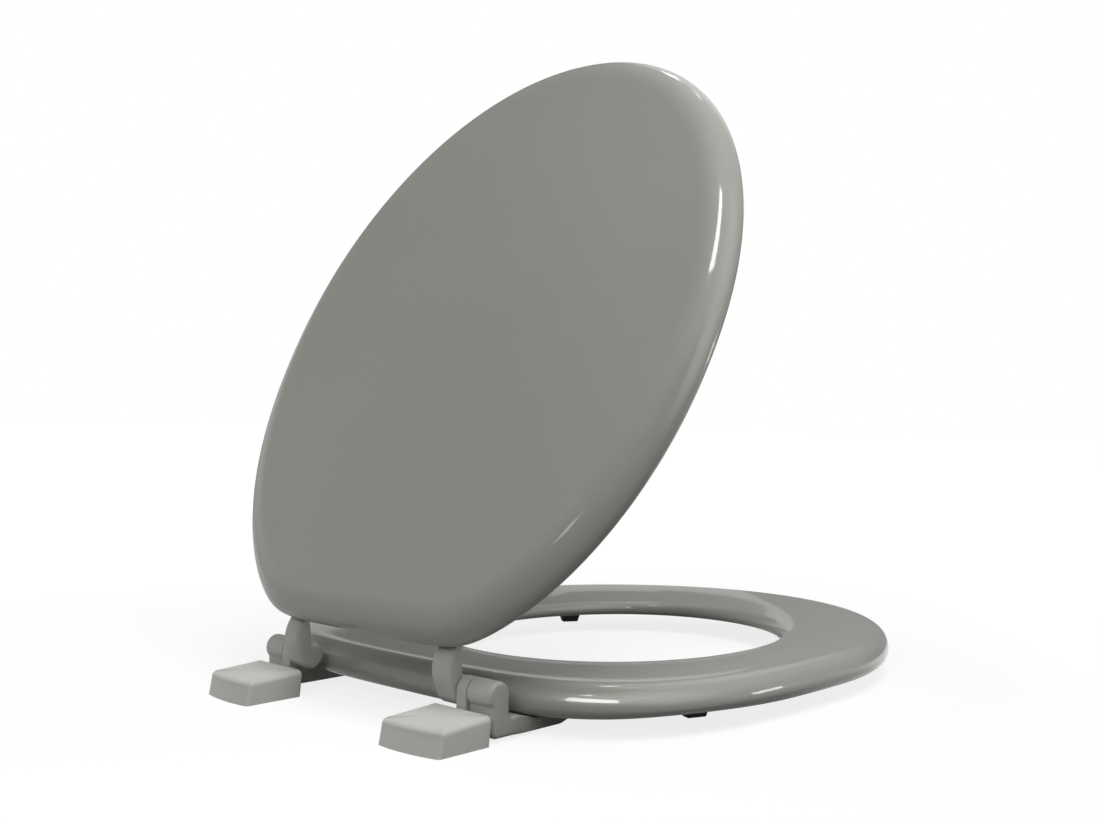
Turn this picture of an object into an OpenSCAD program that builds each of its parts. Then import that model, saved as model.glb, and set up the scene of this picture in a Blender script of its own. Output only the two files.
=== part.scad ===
// Toilet seat with lid, two hinges and two bolt covers.
// Origin: midway between the two fixing holes, on the top of the pan.
// X runs across, +Y to the cistern, +Z up. The front of the seat is at -Y.

/* [View] */

// Which node to show

/* [Fixing to the pan] */

// Distance between the two fixing hole centres
fixing_spacing = 155; // [145:1:162]
// Diameter of each fixing hole in the hinge base
fixing_hole_d = 8.5; // [6:0.5:10]
// Hinge axis forward of the fixing holes
hinge_forward = 28; // [26:0.5:30]
// Hinge axis above the pan
hinge_height = 24.4; // [24:0.1:27]

/* [Seat outline] */

// Width of the seat
seat_w = 368; // [350:1:385]
// Hinge axis to the front edge of the seat
seat_front = 430; // [410:1:450]
// Hinge axis to the widest place of the seat
seat_mid = 225; // [210:1:240]
// Hinge axis to the rear edge of the seat
seat_rear = 12; // [11:0.5:14]
// Squareness of the front half, 2 is an ellipse
seat_front_round = 1.96; // [1.9:0.02:2.3]
// Squareness of the rear half
seat_rear_round = 2.84; // [2.4:0.02:3.2]

/* [Seat hole] */

// Width of the hole
hole_w = 219; // [205:1:232]
// Hinge axis to the front of the hole
hole_front = 353; // [345:1:365]
// Hinge axis to the widest place of the hole
hole_mid = 221; // [210:1:232]
// Hinge axis to the rear of the hole
hole_rear = 94; // [90:1:110]
// Squareness of the front half of the hole
hole_front_round = 2.04; // [1.9:0.01:2.3]
// Squareness of the rear half of the hole
hole_rear_round = 2.13; // [1.9:0.01:2.6]

/* [Seat section] */

// Full thickness of the seat at its crown
seat_t = 21; // [18:0.5:23]
// Underside to the widest line of the seat's edge
seat_low_h = 8; // [6:0.1:10]
// How far the edge rounds in below its widest line
seat_low_in = 8; // [5:0.1:10]
// How far the edge rounds in above its widest line
seat_edge = 12.4; // [8:0.2:15]
// Fall of the top from the crown to the hole
seat_fall = 6.6; // [3:0.2:9]
// How far the top rounds over into the hole
hole_edge = 7.5; // [5:0.5:12]
// Thickness of the rim round the hole
rim_t = 7.8; // [6.5:0.1:12]
// Width of the bevel under the rim
rim_bevel = 20; // [12:1:26]
// Seat underside to the pan, the height of the seat buffers
seat_buffer_h = 8.6; // [8.2:0.1:10]

/* [Lid outline] */

// Width of the lid
lid_w = 368.5; // [350:0.5:385]
// Hinge axis to the front edge of the lid
lid_front = 431; // [410:1:450]
// Hinge axis to the widest place of the lid
lid_mid = 215.5; // [200:0.5:235]
// Hinge axis to the back of the oval that the straight rear edge cuts
lid_oval_back = -6; // [-14:1:4]
// Hinge axis to the straight rear edge of the lid
lid_rear = 15; // [13:0.5:18]
// Softness of the two rear corners
lid_corner = 8; // [4:0.5:16]
// Squareness of the front half of the lid
lid_front_round = 2.03; // [1.9:0.01:2.3]
// Squareness of the rear half of the lid
lid_rear_round = 2.1; // [1.9:0.01:2.6]

/* [Lid section] */

// Hinge axis to the flat underside of the closed lid
lid_under = 17.5; // [17:0.1:20]
// Underside to the widest line of the lid edge
lid_lip = 4.4; // [3:0.1:7]
// Rise of the rolled edge above its widest line
lid_roll_h = 13.2; // [9:0.1:16]
// How far the rolled edge comes in
lid_roll_w = 21; // [14:0.5:30]
// Rise of the shallow dome inside the rolled edge
lid_dome = 2.4; // [0:0.1:5]
// Angle that the lid stands open from closed
lid_open = 62; // [0:1:110]

/* [Hinges] */

// Radius of the hinge barrels
barrel_r = 7.8; // [7:0.1:8.2]
// How far the barrels stand forward of the pin
barrel_forward = 0.8; // [0:0.1:1]
// Radius of the eye of the lid hinge arm
lid_eye_r = 8.2; // [7.6:0.1:8.4]
// Centre line to the inner face of the lid hinge arm
lid_arm_inner = 60; // [56:0.5:62]
// Width of the lid hinge arm
lid_arm_w = 15; // [12:0.5:15]
// Width of the knuckle of the hinge base
knuckle_w = 7.4; // [6:0.1:8]
// Width of the seat hinge arm
seat_arm_w = 18.3; // [15:0.1:20]
// Side gap between neighbouring knuckles
knuckle_gap = 0.5; // [0.3:0.1:1]
// Hinge axis to the front end of the seat hinge arm
seat_arm_reach = 66; // [64:1:80]
// Pan to the underside of the seat hinge arm
arm_clear = 1.6; // [1.5:0.1:2.5]
// Radius round the outer end of the seat hinge arm
arm_end_r = 3; // [1:0.5:3.5]
// Hinge axis to the front end of the lid hinge arm
lid_arm_reach = 64; // [60:1:76]
// Thickness of the lid hinge arm under the lid
lid_arm_t = 5.4; // [4.6:0.1:6]
// Diameter of the hinge pin
pin_d = 5; // [3.5:0.5:6]
// Radial running clearance of the pin
pin_clear = 0.06; // [0.02:0.01:0.1]
// Wall left over each end of the pin
pin_wall = 3; // [2:0.5:5]

/* [Hinge base and bolt cover] */

// Thickness of the base plate
plate_t = 4; // [3:0.5:5]
// Centre line to the inner side of the bolt cover
cover_inner = 59.8; // [57:0.1:60]
// Width of the bolt cover
cover_w = 45.3; // [44:0.1:50]
// Hinge axis to the front of the bolt cover
cover_front = 9.6; // [9:0.1:11]
// Front to back of the bolt cover on its inner side
cover_d = 39.3; // [36:0.1:42]
// How much shorter the outer side is
cover_slant = 2.7; // [0:0.1:5]
// How far the middle of the bolt cover's rear edge bulges
cover_bulge = 2.4; // [0:0.1:3]
// Height of the bolt cover at its front
cover_h = 16.5; // [14:0.1:17]
// Height of the bolt cover at its rear
cover_rear_h = 14.3; // [12:0.1:17]
// Wall of the bolt cover
cover_wall = 2; // [1.5:0.1:3]
// Radius of the upright corners of the bolt cover
cover_corner = 2.6; // [2.2:0.1:5]
// Radius round the top of the bolt cover
cover_top_r = 2.2; // [1.2:0.1:3]
// Clearance between the base plate and the bolt cover
cover_clear = 0.3; // [0.2:0.1:0.6]

/* [Buffers] */

// Length of a seat buffer along the seat
buffer_l = 18; // [15:1:26]
// Width of a seat buffer
buffer_w = 12; // [11:0.5:16]
// How far each side of a buffer tapers in
buffer_taper = 2.6; // [1:0.1:3]
// Front seat buffers, degrees round the seat from its widest line to the front
buffer_front_angle = 33.4; // [28:0.2:40]
// Front seat buffers, in from the seat's edge
buffer_front_in = 19.3; // [19:0.1:25]
// Rear seat buffers, degrees round the seat from its widest line to the front
buffer_rear_angle = -26.1; // [-32:0.1:-10]
// Rear seat buffers, in from the seat's edge
buffer_rear_in = 33; // [22:0.5:36]
// Lid buffers, degrees round the lid from its widest line to the front
lid_buffer_angle = 41.9; // [34:0.1:46]
// Lid buffers, in from the lid's edge
lid_buffer_in = 17; // [15:0.5:24]
// Diameter of a lid buffer at the lid
lid_buffer_d = 16; // [14:1:18]
// Gap that stays under the closed lid's buffers
lid_buffer_gap = 0.4; // [0.3:0.1:1]

/* [Screws and nails] */

// Shank diameter of the arm screws
screw_d = 3.5; // [3:0.5:4]
// Head diameter of the arm screws
screw_head_d = 7; // [6:0.5:8]
// Head height of the arm screws
screw_head_h = 2; // [1.5:0.1:2.5]
// How far a screw goes into the board
screw_bite = 10; // [7:0.5:12]
// Distance between the two screws of an arm
screw_pitch = 12; // [11:0.5:14]
// Front end of an arm to its first screw
screw_end = 18; // [17:0.5:20]
// Diameter of the buffer nails
nail_d = 1.8; // [1.4:0.2:2.4]
// How far a nail goes into the board
nail_bite = 9; // [6:0.5:12]

/* [Hidden] */

// Steps round the outlines of the seat and the lid
around = 96;
outline_step = 360 / around;
$fn = 48;
eps = 0.01;
seat_under = seat_buffer_h - hinge_height;
seat_crown = seat_under + seat_t;
seat_lip = seat_crown - seat_fall;
lid_side = lid_under + lid_lip;
lid_face = lid_side + lid_roll_h;
knuckle_inner = lid_arm_inner + lid_arm_w + knuckle_gap;
seat_arm_inner = knuckle_inner + knuckle_w + knuckle_gap;
seat_arm_outer = seat_arm_inner + seat_arm_w;
arm_foot = arm_clear - hinge_height;
pin_from = lid_arm_inner + pin_wall;
pin_to = seat_arm_outer - pin_wall;
lid_buffer_h = lid_under - seat_crown - lid_buffer_gap;
paint = [0.53, 0.535, 0.50];
plastic = [0.55, 0.555, 0.52];
cover_grey = [0.75, 0.755, 0.72];
rubber = [0.33, 0.335, 0.31];
steel = [0.70, 0.71, 0.72];

// Outlines, seen from above, with the hinge axis at y = 0. d moves the line inwards.
function bend(c, n) = sign(c) * pow(abs(c), 2 / n);
// An arc round x, z in steps of about ten degrees, both of its ends included.
function arc(x, z, r, from, to) = let (n = ceil(abs(to - from) / 10))
    [for (k = [0:n]) let (a = from + (to - from) * k / n) [x + r * cos(a), z + r * sin(a)]];
function soft_max(a, b, k) = (a + b + sqrt((a - b) * (a - b) + k * k)) / 2;
function oval(t, half, front, mid, rear, nf, nr) =
    let (n = sin(t) > 0 ? nf : nr, l = sin(t) > 0 ? front - mid : mid - rear)
    [half * bend(cos(t), n), mid + l * bend(sin(t), n)];
function seat_line(t, d) = let (p = oval(t, seat_w / 2 - d, seat_front - d, seat_mid, seat_rear + d,
    seat_front_round, seat_rear_round)) [p[0], -p[1]];
function hole_line(t, d) = let (p = oval(t, hole_w / 2 + d, hole_front + d, hole_mid, hole_rear - d,
    hole_front_round, hole_rear_round)) [p[0], -p[1]];
function lid_line(t, d) = let (p = oval(t, lid_w / 2 - d, lid_front - d, lid_mid, lid_oval_back + d,
    lid_front_round, lid_rear_round)) [p[0], -soft_max(p[1], lid_rear + d, lid_corner)];

// The seat board: one closed section carried round from the outer line to the hole.
low_steps = 3;
edge_steps = 5;
crown_steps = 6;
rim_steps = 4;
rim_under_r = 4;
rim_low = seat_lip - rim_t;
rim_nose = rim_low + rim_under_r;
rim_from = 76;
rim_top = rim_nose + (seat_lip - rim_nose) * sin(rim_from);
crown_bend = 1.3;
function crown_z(s) = seat_crown - (seat_crown - rim_top) * pow(s, crown_bend);
function at(p, z) = [p[0], p[1], z];
function between(p, q, s) = p + s * (q - p);
function seat_section(t) = concat(
    [for (k = [0:low_steps - 1]) let (a = -90 + 90 * k / low_steps)
        at(seat_line(t, seat_low_in * (1 - cos(a))), seat_under + seat_low_h * (1 + sin(a)))],
    [for (k = [0:edge_steps]) let (a = 90 * k / edge_steps)
        at(seat_line(t, seat_edge * (1 - cos(a))), seat_under + seat_low_h + (seat_t - seat_low_h) * sin(a))],
    [for (k = [1:crown_steps - 1])
        let (s = k / crown_steps, inner = hole_line(t, hole_edge * (1 - cos(rim_from))))
        at(between(seat_line(t, seat_edge), inner, s), crown_z(s))],
    [for (k = [0:rim_steps]) let (a = rim_from * (1 - k / rim_steps))
        at(hole_line(t, hole_edge * (1 - cos(a))), rim_nose + (seat_lip - rim_nose) * sin(a))],
    [for (k = [1:rim_steps]) let (a = 90 * k / rim_steps)
        at(hole_line(t, rim_under_r * (1 - cos(a))), rim_nose - (rim_nose - rim_low) * sin(a))],
    [at(hole_line(t, rim_under_r + rim_bevel), seat_under)]
);

module seat_board() {
    rows = [for (i = [0:around - 1]) seat_section(outline_step * i)];
    m = len(rows[0]);
    polyhedron(
        points = [for (r = rows) each r],
        faces = [for (i = [0:around - 1], j = [0:m - 1])
            let (i2 = (i + 1) % around, j2 = (j + 1) % m,
                a = i * m + j, b = i2 * m + j, c = i2 * m + j2, d = i * m + j2)
            each [[a, b, c], [a, c, d]]]);
}

// The lid board: level lines from the underside over the rolled edge to the dome.
roll_steps = 8;
dome_steps = 5;
lid_levels = concat(
    [for (k = [0:3]) let (a = -90 + 30 * k) [lid_lip * (1 - cos(a)), lid_side + lid_lip * sin(a), 1]],
    [for (k = [1:roll_steps]) let (a = 90 * k / roll_steps)
        [lid_roll_w * (1 - cos(a)), lid_side + lid_roll_h * sin(a), 1]],
    [for (k = [1:dome_steps - 1]) let (s = 1 - k / dome_steps)
        [lid_roll_w, lid_face + lid_dome * pow(1 - s * s, 2), s]]
);
lid_centre = -(lid_front + lid_rear) / 2;
function lid_point(level, t) = let (p = lid_line(t, level[0]), s = level[2])
    [p[0] * s, lid_centre + (p[1] - lid_centre) * s, level[1]];

module lid_board() {
    m = len(lid_levels);
    n = around;
    polyhedron(
        points = concat(
            [for (level = lid_levels, i = [0:n - 1]) lid_point(level, outline_step * i)],
            [[0, lid_centre, lid_under], [0, lid_centre, lid_face + lid_dome]]),
        faces = concat(
            [for (j = [0:m - 2], i = [0:n - 1])
                let (i2 = (i + 1) % n, a = j * n + i, b = j * n + i2, c = (j + 1) * n + i2, d = (j + 1) * n + i)
                each [[a, b, c], [a, c, d]]],
            [for (i = [0:n - 1]) [m * n, (i + 1) % n, i]],
            [for (i = [0:n - 1]) [m * n + 1, (m - 1) * n + i, (m - 1) * n + (i + 1) % n]]));
}

// Places
module on_axis() { translate([0, -hinge_forward, hinge_height]) children(); }
module on_lid() { on_axis() rotate([-lid_open, 0, 0]) children(); }
module mirrored(side) { mirror([side < 0 ? 1 : 0, 0, 0]) children(); }
module along_x(from, to) { translate([from, 0, 0]) rotate([90, 0, 90]) linear_extrude(to - from) children(); }
module bar_x(from, to, r) { translate([from, 0, 0]) rotate([0, 90, 0]) cylinder(h = to - from, r = r); }
module arm_screw_places(reach, x) {
    for (k = [0, 1]) translate([x, -(reach - screw_end - k * screw_pitch), 0]) children();
}
screw_sink = 0.4;
seat_screw_x = (seat_arm_inner + seat_arm_outer) / 2;
lid_screw_x = lid_arm_inner + lid_arm_w / 2;
seat_screw_z = arm_foot + screw_head_h + screw_sink;
lid_screw_z = lid_under - lid_arm_t + screw_head_h + screw_sink;
module seat_screw_places(side) {
    mirrored(side) arm_screw_places(seat_arm_reach, seat_screw_x) translate([0, 0, seat_screw_z]) children();
}
module lid_screw_places(side) {
    mirrored(side) arm_screw_places(lid_arm_reach, lid_screw_x) translate([0, 0, lid_screw_z]) children();
}
// The buffers lie along the ring, front and rear turned from the X axis by these angles.
buffer_front_turn = 57;
buffer_rear_turn = 112;
module seat_buffer_place(side, end) {
    p = end > 0 ? seat_line(buffer_front_angle, buffer_front_in) : seat_line(buffer_rear_angle, buffer_rear_in);
    turn = end > 0 ? buffer_front_turn : buffer_rear_turn;
    mirrored(side) translate([p[0], p[1], seat_under]) rotate([0, 0, turn]) children();
}
module lid_buffer_place(side) {
    p = lid_line(lid_buffer_angle, lid_buffer_in);
    mirrored(side) translate([p[0], p[1], lid_under]) children();
}

// A pan-head screw that points up, its head under z = 0, and the hole that it takes in an arm.
screw_point = 3;
head_round = 1;
slot_w = 0.9;
slot_l = 3.8;
slot_depth = 1.2;
module arm_screw(bite) {
    difference() {
        rotate_extrude() polygon([
            [0, -screw_head_h],
            [screw_head_d / 2 - head_round, -screw_head_h],
            [screw_head_d / 2, -screw_head_h + 0.8],
            [screw_head_d / 2, 0],
            [screw_d / 2, 0],
            [screw_d / 2, bite - screw_point],
            [0.4, bite],
            [0, bite]]);
        for (a = [0, 90]) rotate([0, 0, a])
            translate([-slot_l / 2, -slot_w / 2, -screw_head_h - 1]) cube([slot_l, slot_w, slot_depth + 1]);
    }
}
screw_play = 0.2;
head_play = 0.6;
module screw_hole() {
    translate([0, 0, -1]) cylinder(h = screw_bite + 2, d = screw_d + screw_play);
    translate([0, 0, -screw_bite]) cylinder(h = screw_bite, d = screw_head_d + head_play);
}
seat_bite = screw_bite + seat_under - seat_screw_z;
lid_bite = screw_bite + lid_under - lid_screw_z;

// A nail that points up, its flat head at the depth given, and the hole that it takes in a board.
nail_head_h = 0.9;
nail_point = 2;
module nail(below) {
    rotate_extrude() polygon([
        [0, -below],
        [nail_d, -below],
        [nail_d, -below + nail_head_h],
        [nail_d / 2, -below + nail_head_h],
        [nail_d / 2, nail_bite - nail_point],
        [0.2, nail_bite],
        [0, nail_bite]]);
}
// A hole from just under a board's face to a little past the fastener's point.
module board_hole(depth, d) {
    translate([0, 0, -1]) cylinder(h = depth + 1.3, d = d);
}

module lid() {
    color(paint) on_lid() difference() {
        lid_board();
        for (side = [-1, 1]) {
            lid_screw_places(side) board_hole(lid_bite, screw_d);
            lid_buffer_place(side) board_hole(nail_bite, nail_d);
        }
    }
}

module seat() {
    color(paint) on_axis() difference() {
        seat_board();
        for (side = [-1, 1]) {
            seat_screw_places(side) board_hole(seat_bite, screw_d);
            for (end = [-1, 1]) seat_buffer_place(side, end) board_hole(nail_bite, nail_d);
        }
    }
}

// Faces that would just touch a round face clear it by this much.
round_off = 0.08;

// The lid arm is a bent arm: a round eye on the pin, an elbow, and a flat foot under the lid.
elbow_r = 19.5;
elbow_back = 12.4;
elbow_from = 43;
lid_eye_back = 1.2;
lid_arm_throat = 18;
throat_root = [-5.8, 4.1];
module lid_arm_side() {
    toe_x = -lid_arm_reach + lid_arm_t;
    eye_in = lid_eye_r - round_off;
    union() {
        translate([lid_eye_back, 0]) circle(r = lid_eye_r);
        polygon(concat(
            [[lid_eye_back, 0], [lid_eye_back + eye_in * cos(elbow_from), eye_in * sin(elbow_from)]],
            arc(-elbow_back, lid_under - elbow_r, elbow_r, elbow_from, 90),
            arc(toe_x, lid_under, lid_arm_t, 180, 270),
            [[-lid_arm_throat, lid_under - lid_arm_t], throat_root]));
    }
}
module lid_arm(side) {
    color(plastic) on_lid() difference() {
        mirrored(side) along_x(lid_arm_inner, lid_arm_inner + lid_arm_w) lid_arm_side();
        mirrored(side) bar_x(pin_from, lid_arm_inner + lid_arm_w + 1, pin_d / 2 + pin_clear);
        lid_screw_places(side) screw_hole();
    }
}

// A rectangle from x0, y0 to x1, y1 with its far corner at x1, y1 rounded.
module round_end(x0, x1, y0, y1, r) {
    polygon(concat([[x0, y1], [x0, y0], [x1, y0]], arc(x1 - r, y1 - r, r, 0, 90)));
}

// The seat arm is an L: a round eye on the pin, an upright, and a foot under the seat.
heel_r = 4;
toe = 16;
toe_t = 2.4;
instep_h = 10.6;
instep = 21;
// The upright's back leaves the eye at this angle below its middle.
upright_from = -45;
module seat_arm_side() {
    back = barrel_r * cos(upright_from) - barrel_forward;
    front = -barrel_r - barrel_forward;
    polygon(concat(
        arc(-barrel_forward, 0, barrel_r, upright_from, 180),
        [[front, arm_foot + instep_h],
            [front - instep / 3, arm_foot + instep_h],
            [front - instep, seat_under],
            [-seat_arm_reach, seat_under],
            [-seat_arm_reach, seat_under - toe_t],
            [-seat_arm_reach + toe, arm_foot]],
        arc(back - heel_r, arm_foot + heel_r, heel_r, -90, 0)));
}
module seat_arm(side) {
    from = seat_arm_inner - 1;
    top = barrel_r + round_off;
    color(plastic) on_axis() difference() {
        mirrored(side) intersection() {
            along_x(seat_arm_inner, seat_arm_outer) seat_arm_side();
            translate([0, 0, arm_foot - 1]) linear_extrude(barrel_r - arm_foot + 2)
                round_end(from, seat_arm_outer, -seat_arm_reach - 1, top, arm_end_r);
            translate([0, barrel_r + 1, 0]) rotate([90, 0, 0]) linear_extrude(seat_arm_reach + barrel_r + 2)
                round_end(from, seat_arm_outer, arm_foot - 1, top, arm_end_r);
        }
        mirrored(side) bar_x(from, pin_to, pin_d / 2 + pin_clear);
        seat_screw_places(side) screw_hole();
    }
}

// The base: a plate on the pan with the knuckle that carries the pin.
cover_back = cover_front + cover_d;
knuckle_root = 6;
module knuckle_side() {
    half = barrel_r - round_off;
    union() {
        translate([-barrel_forward, 0]) circle(r = barrel_r);
        polygon([
            [-barrel_forward - half, 0],
            [1.5 - barrel_forward - half, -hinge_height],
            [cover_front + knuckle_root, -hinge_height],
            [cover_front + knuckle_root, -hinge_height + plate_t + 3],
            [half - barrel_forward, -hinge_height + cover_h - 3],
            [half - barrel_forward, 0]]);
    }
}
cover_middle = cover_inner + cover_w / 2;
cover_bulge_y = cover_back - cover_slant / 2 + cover_bulge;
module cover_plan(grow) {
    x0 = cover_inner - grow;
    x1 = cover_inner + cover_w + grow;
    y0 = cover_front - grow;
    y1 = cover_back + grow;
    polygon([[x0, y0], [x1, y0], [x1, y1 - cover_slant], [cover_middle, cover_bulge_y + grow], [x0, y1]]);
}
boss_wall = 3;
boss_h = 2;
module hinge_base(side) {
    inset = cover_wall + cover_clear;
    color(plastic) on_axis() mirrored(side) difference() {
        union() {
            translate([0, 0, -hinge_height]) linear_extrude(plate_t) cover_plan(-inset);
            along_x(knuckle_inner, knuckle_inner + knuckle_w) knuckle_side();
            translate([fixing_spacing / 2, hinge_forward, -hinge_height])
                cylinder(h = plate_t + boss_h, d = fixing_hole_d + 2 * boss_wall);
        }
        translate([fixing_spacing / 2, hinge_forward, -hinge_height - 1])
            cylinder(h = plate_t + boss_h + 2, d = fixing_hole_d);
        bar_x(knuckle_inner - 1, knuckle_inner + knuckle_w + 1, pin_d / 2);
    }
}

// The cover: a hollow cap that leans forward a little, open below and at the knuckle.
cover_lean = 1.3;
cover_draft = 0.9;
module cover_corner_post(x, y, h, lean, grow) {
    r = cover_corner + grow;
    rt = max(cover_top_r + grow, 0.6);
    translate([x, y, -hinge_height]) cylinder(h = 1, r = r, $fn = 32);
    translate([x, y - lean, -hinge_height + h - cover_top_r]) rotate_extrude($fn = 32)
        polygon(concat([[0, rt], [0, -1], [r, -1]], [for (a = [0:15:90]) [r - rt + rt * cos(a), rt * sin(a)]]));
}
module cover_block(grow) {
    x0 = cover_inner + cover_corner;
    x1 = cover_inner + cover_w - cover_corner;
    y0 = cover_front + cover_corner;
    y1 = cover_back - cover_corner;
    hull() {
        cover_corner_post(x0, y0, cover_h, cover_lean, grow);
        cover_corner_post(x1, y0, cover_h, cover_lean, grow);
        cover_corner_post(x1, y1 - cover_slant, cover_rear_h, cover_lean + cover_draft, grow);
        cover_corner_post(cover_middle, cover_bulge_y - cover_corner,
            cover_rear_h, cover_lean + cover_draft, grow);
        cover_corner_post(x0, y1, cover_rear_h, cover_lean + cover_draft, grow);
    }
}
knuckle_room = 6.3;
module bolt_cover(side) {
    color(cover_grey) on_axis() mirrored(side) difference() {
        cover_block(0);
        translate([0, 0, -eps]) cover_block(-cover_wall);
        translate([0, 0, -hinge_height - 1]) linear_extrude(1 + plate_t + 0.2) cover_plan(-cover_wall);
        translate([knuckle_inner - cover_clear, cover_front - 12, -hinge_height - 1])
            cube([knuckle_w + 2 * cover_clear, 12 + knuckle_room, cover_h + 1 - cover_wall]);
    }
}

module hinge_pin(side) {
    color(steel) on_axis() mirrored(side) bar_x(pin_from + 0.3, pin_to - 0.3, pin_d / 2);
}
module lid_arm_screws() {
    color(steel) on_lid() for (side = [-1, 1]) lid_screw_places(side) arm_screw(lid_bite);
}
module seat_arm_screws() {
    color(steel) on_axis() for (side = [-1, 1]) seat_screw_places(side) arm_screw(seat_bite);
}

// A buffer is a tapered block with a recess for its nail.
recess_d = 4.8;
recess_depth = 3.6;
module tapered(length, height) {
    half = length / 2;
    polygon([[-half, 0], [half, 0], [half - buffer_taper, -height], [buffer_taper - half, -height]]);
}
module nail_recess(height) {
    translate([0, 0, -height - 1]) cylinder(h = recess_depth + 1, d = recess_d);
    translate([0, 0, -height]) cylinder(h = height + 1, d = nail_d);
}
module seat_buffer(side, end) {
    color(rubber) on_axis() seat_buffer_place(side, end) difference() {
        intersection() {
            translate([0, buffer_w, 0]) rotate([90, 0, 0]) linear_extrude(2 * buffer_w)
                tapered(buffer_l, seat_buffer_h);
            translate([-buffer_l, 0, 0]) rotate([90, 0, 90]) linear_extrude(2 * buffer_l)
                tapered(buffer_w, seat_buffer_h);
        }
        nail_recess(seat_buffer_h);
    }
}
module seat_buffer_nails() {
    color(steel) on_axis() for (side = [-1, 1], end = [-1, 1])
        seat_buffer_place(side, end) nail(seat_buffer_h - recess_depth + nail_head_h);
}
lid_buffer_edge = 1.2;
module lid_buffer(side) {
    r = lid_buffer_d / 2;
    h = lid_buffer_h;
    color(rubber) on_lid() lid_buffer_place(side) difference() {
        rotate_extrude() polygon([
            [0, 0],
            [r, 0],
            [r - buffer_taper, -h + lid_buffer_edge],
            [r - buffer_taper - lid_buffer_edge, -h],
            [0, -h]]);
        nail_recess(h);
    }
}
module lid_buffer_nails() {
    color(steel) on_lid() for (side = [-1, 1])
        lid_buffer_place(side) nail(lid_buffer_h - recess_depth + nail_head_h);
}

lid();
seat();
lid_arm(-1);  // lid_hinge_arm_left
lid_arm(1);  // lid_hinge_arm_right
seat_arm(-1);  // seat_hinge_arm_left
seat_arm(1);  // seat_hinge_arm_right
hinge_base(-1);  // hinge_base_left
hinge_base(1);  // hinge_base_right
bolt_cover(-1);  // bolt_cover_left
bolt_cover(1);  // bolt_cover_right
hinge_pin(-1);  // hinge_pin_left
hinge_pin(1);  // hinge_pin_right
lid_arm_screws();
seat_arm_screws();
seat_buffer(-1, 1);  // seat_buffer_front_left
seat_buffer(1, 1);  // seat_buffer_front_right
seat_buffer(-1, -1);  // seat_buffer_rear_left
seat_buffer(1, -1);  // seat_buffer_rear_right
seat_buffer_nails();
lid_buffer(-1);  // lid_buffer_left
lid_buffer(1);  // lid_buffer_right
lid_buffer_nails();
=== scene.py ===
import math

import bmesh
import bpy
import numpy as np
from mathutils import Matrix, Vector


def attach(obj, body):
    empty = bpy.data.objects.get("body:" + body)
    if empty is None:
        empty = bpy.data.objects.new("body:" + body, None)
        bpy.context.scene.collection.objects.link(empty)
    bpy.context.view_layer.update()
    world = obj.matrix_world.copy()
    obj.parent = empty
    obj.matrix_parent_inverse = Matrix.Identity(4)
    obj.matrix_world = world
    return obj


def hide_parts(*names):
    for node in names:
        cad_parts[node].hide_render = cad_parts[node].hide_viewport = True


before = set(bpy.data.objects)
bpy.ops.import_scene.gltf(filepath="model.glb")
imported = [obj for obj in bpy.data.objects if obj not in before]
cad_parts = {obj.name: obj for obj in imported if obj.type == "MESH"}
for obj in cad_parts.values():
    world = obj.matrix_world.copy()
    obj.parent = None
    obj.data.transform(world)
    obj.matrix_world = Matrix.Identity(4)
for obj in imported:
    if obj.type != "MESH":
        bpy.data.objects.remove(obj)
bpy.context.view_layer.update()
print("the packed frame is loaded")

mm = 0.001

# the photograph's camera, in mm on the part's own axes
photoCamera = {
    "at": (-577.24, 454.93, 175.87),
    "towards": (0.67509, -0.73774, 0.00149),
    "rollDegrees": 0.85,
    "focalPixels": 1268.35,
    "photoWidth": 1100,
    "sensorWidth": 36.0,
}


def placeCamera(c):
    forward = np.array(c["towards"]) / np.linalg.norm(c["towards"])
    level = np.cross(forward, (0, 0, 1))
    level /= np.linalg.norm(level)
    upright = np.cross(level, forward)
    roll = np.radians(c["rollDegrees"])
    right = np.cos(roll) * level + np.sin(roll) * upright
    up = np.cos(roll) * upright - np.sin(roll) * level
    data = bpy.data.cameras.new("photoCamera")
    data.sensor_width = c["sensorWidth"]
    data.lens = c["focalPixels"] * c["sensorWidth"] / c["photoWidth"]
    data.clip_end = 50
    camera = bpy.data.objects.new("photoCamera", data)
    turn = np.eye(4)
    turn[:3, 0], turn[:3, 1], turn[:3, 2] = right, up, -forward
    turn[:3, 3] = np.array(c["at"]) * mm
    camera.matrix_world = Matrix(turn.tolist())
    bpy.context.scene.collection.objects.link(camera)
    bpy.context.scene.camera = camera


placeCamera(photoCamera)
bpy.context.scene.view_settings.view_transform = "Standard"
print("the camera stands")

# measures that several pieces share, in mm; y runs from the hinge axis here
axle = {"y": -28.0, "z": 24.4, "lidOpen": 62.0}
seatUnder = 8.6 - axle["z"]
armFoot = 1.6 - axle["z"]


# points given round the hinge axis are put in the part's own frame
def onAxis(points):
    return points + np.array([0.0, axle["y"], axle["z"]])


# the lid and what is fixed to it are turned back about the hinge axis
def onLid(points):
    a = np.radians(-axle["lidOpen"])
    turn = np.array([[1, 0, 0], [0, np.cos(a), -np.sin(a)], [0, np.sin(a), np.cos(a)]])
    return onAxis(points @ turn.T)


def mirrorX(points):
    return points * np.array([-1.0, 1.0, 1.0])


# quads between neighbouring rows of a grid, its columns closed into a loop and its rows too if asked
def gridFaces(rows, columns, closeRows=False):
    i = np.arange(rows if closeRows else rows - 1)[:, None]
    j = np.arange(columns)[None, :]
    i2, j2 = (i + 1) % rows, (j + 1) % columns
    quads = np.stack([i * columns + j, i * columns + j2, i2 * columns + j2, i2 * columns + j], -1)
    return quads.reshape(-1, 4)


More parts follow.
